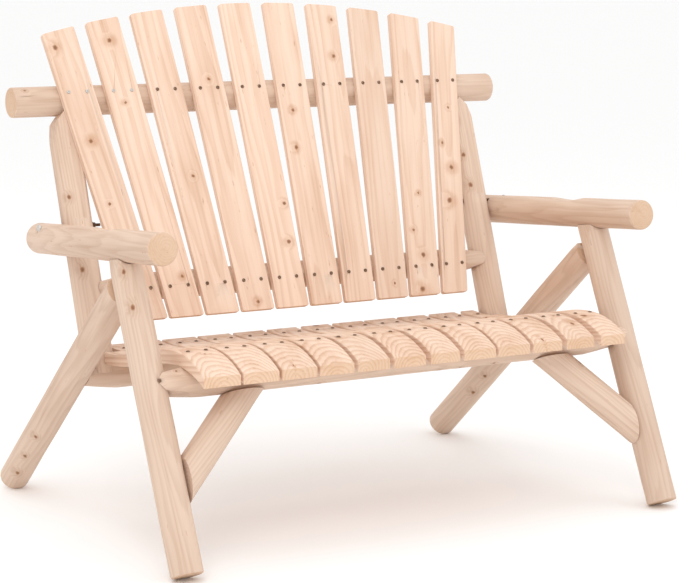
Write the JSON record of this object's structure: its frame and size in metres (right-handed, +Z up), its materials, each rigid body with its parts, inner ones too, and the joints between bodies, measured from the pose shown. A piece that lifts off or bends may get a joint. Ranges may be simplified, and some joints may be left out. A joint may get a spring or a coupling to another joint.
{
  "type": "garden bench",
  "caption": "Rustic garden bench of peeled poles with a fanned back of flat slats, a scooped board seat, pole arms, splayed legs and knee braces.",
  "frame": {"origin": "on the ground, under the middle of the bench's bounding box", "axes": "+X along the bench to the sitter's left, -Y is the front, +Z is up"},
  "size_m": [1.192, 0.908, 1.0505],
  "materials": {
    "peeled_poles": "peeled round softwood, planed smooth, unfinished",
    "sawn_boards": "sawn and planed softwood boards, unfinished",
    "dowels": "plain turned hardwood",
    "screws": "weathered zinc-plated steel",
    "bolts": "weathered plated steel"
  },
  "bodies": {
    "root": {"arm_bolt_nuts": "bolts", "arm_bolt_washers": "bolts", "arm_bolts": "bolts", "arm_left": "peeled_poles", "arm_right": "peeled_poles", "back_leg_left": "peeled_poles", "back_leg_right": "peeled_poles", "back_post_left": "peeled_poles", "back_post_right": "peeled_poles", "back_screws_lower": "screws", "back_screws_upper": "screws", "back_slat_01": "sawn_boards", "back_slat_02": "sawn_boards", "back_slat_03": "sawn_boards", "back_slat_04": "sawn_boards", "back_slat_05": "sawn_boards", "back_slat_06": "sawn_boards", "back_slat_07": "sawn_boards", "back_slat_08": "sawn_boards", "back_slat_09": "sawn_boards", "back_slat_10": "sawn_boards", "brace_dowels": "dowels", "front_leg_left": "peeled_poles", "front_leg_right": "peeled_poles", "front_seat_rail": "peeled_poles", "knee_brace_left": "peeled_poles", "knee_brace_right": "peeled_poles", "lower_back_rail": "peeled_poles", "rear_seat_rail": "peeled_poles", "seat_board_01": "sawn_boards", "seat_board_02": "sawn_boards", "seat_board_03": "sawn_boards", "seat_board_04": "sawn_boards", "seat_board_05": "sawn_boards", "seat_board_06": "sawn_boards", "seat_board_07": "sawn_boards", "seat_board_08": "sawn_boards", "seat_board_09": "sawn_boards", "seat_board_10": "sawn_boards", "seat_board_11": "sawn_boards", "seat_board_12": "sawn_boards", "seat_screws_front": "screws", "seat_screws_rear": "screws", "tenon_screw": "screws", "top_rail": "peeled_poles", "top_rail_dowels": "dowels"}
  },
  "joints": []
}
